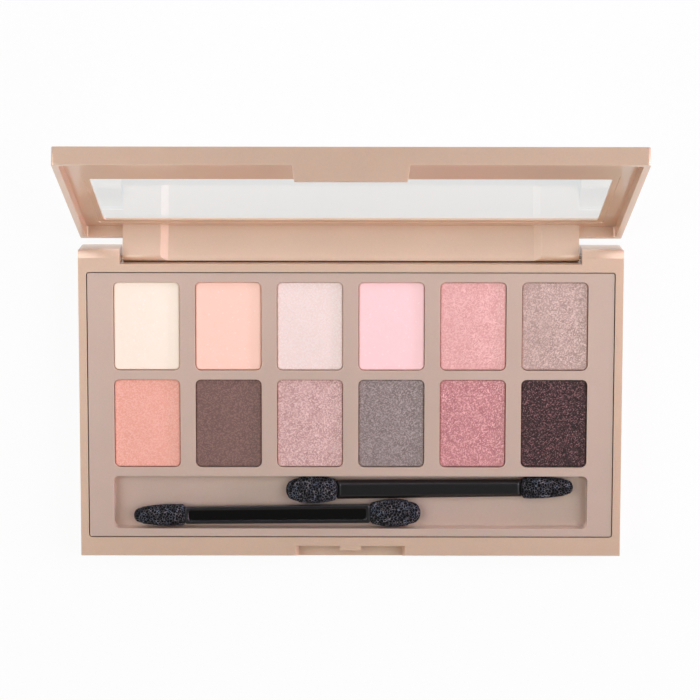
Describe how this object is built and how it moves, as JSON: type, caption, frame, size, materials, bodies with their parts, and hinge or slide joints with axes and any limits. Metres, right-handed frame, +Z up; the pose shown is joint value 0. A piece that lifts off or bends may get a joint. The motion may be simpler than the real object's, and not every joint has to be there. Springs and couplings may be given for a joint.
{
  "type": "eyeshadow palette",
  "caption": "Slim eyeshadow palette with a hinged windowed lid, pressed powder pans in a moulded tray and a trough with double-ended sponge applicators.",
  "frame": {"origin": "on the case's flat underside, midway across its width and midway between the rim's front and rear edges", "axes": "+X to the right along the hinge, -Y the opening edge, +Y the hinge edge, +Z up; the lid stands open at rest"},
  "size_m": [0.137, 0.1104, 0.0771],
  "materials": {
    "champagne_plastic": "moulded pearl champagne plastic, satin gloss",
    "tray_plastic": "moulded taupe rose plastic, satin gloss",
    "clear_window": "clear polished plastic sheet",
    "pan_metal": "pressed thin sheet, satin",
    "pin_steel": "drawn steel wire",
    "glue": "dried adhesive",
    "handle_plastic": "polished black plastic",
    "sponge_foam": "fine open foam, charcoal black",
    "powder_01": "cream pressed powder",
    "powder_02": "peach pressed powder",
    "powder_03": "pale pink beige shimmer pressed powder",
    "powder_04": "light pink pressed powder",
    "powder_05": "rose shimmer pressed powder",
    "powder_06": "taupe pink glitter pressed powder",
    "powder_07": "coral satin pressed powder",
    "powder_08": "brown satin pressed powder",
    "powder_09": "mauve rose shimmer pressed powder",
    "powder_10": "grey taupe shimmer pressed powder",
    "powder_11": "rose metallic pressed powder",
    "powder_12": "dark plum glitter pressed powder"
  },
  "bodies": {
    "case": {"base_case": "champagne_plastic", "shade_tray": "tray_plastic", "pan_glue": "glue", "hinge_pin_left": "pin_steel", "hinge_pin_right": "pin_steel", "pan_01": "pan_metal", "pan_02": "pan_metal", "pan_03": "pan_metal", "pan_04": "pan_metal", "pan_05": "pan_metal", "pan_06": "pan_metal", "pan_07": "pan_metal", "pan_08": "pan_metal", "pan_09": "pan_metal", "pan_10": "pan_metal", "pan_11": "pan_metal", "pan_12": "pan_metal", "shade_01": "powder_01", "shade_02": "powder_02", "shade_03": "powder_03", "shade_04": "powder_04", "shade_05": "powder_05", "shade_06": "powder_06", "shade_07": "powder_07", "shade_08": "powder_08", "shade_09": "powder_09", "shade_10": "powder_10", "shade_11": "powder_11", "shade_12": "powder_12"},
    "lid": {"lid_frame": "champagne_plastic", "lid_window": "clear_window"},
    "front_applicator": {"front_handle": "handle_plastic", "front_broad_sponge": "sponge_foam", "front_narrow_sponge": "sponge_foam"},
    "back_applicator": {"back_handle": "handle_plastic", "back_broad_sponge": "sponge_foam", "back_narrow_sponge": "sponge_foam"}
  },
  "joints": [
    {"name": "lid_hinge", "type": "hinge", "parent": "case", "child": "lid", "pos_m": [0, 0.0369, 0.00545], "axis": [1, 0, 0], "range_deg": [0, 108.7]},
    {"name": "front_applicator_lift", "type": "slide", "parent": "case", "child": "front_applicator", "axis": [0, 0, 1], "range_m": [0, 0.0024]},
    {"name": "back_applicator_lift", "type": "slide", "parent": "case", "child": "back_applicator", "axis": [0, 0, 1], "range_m": [0, 0.0024]}
  ]
}
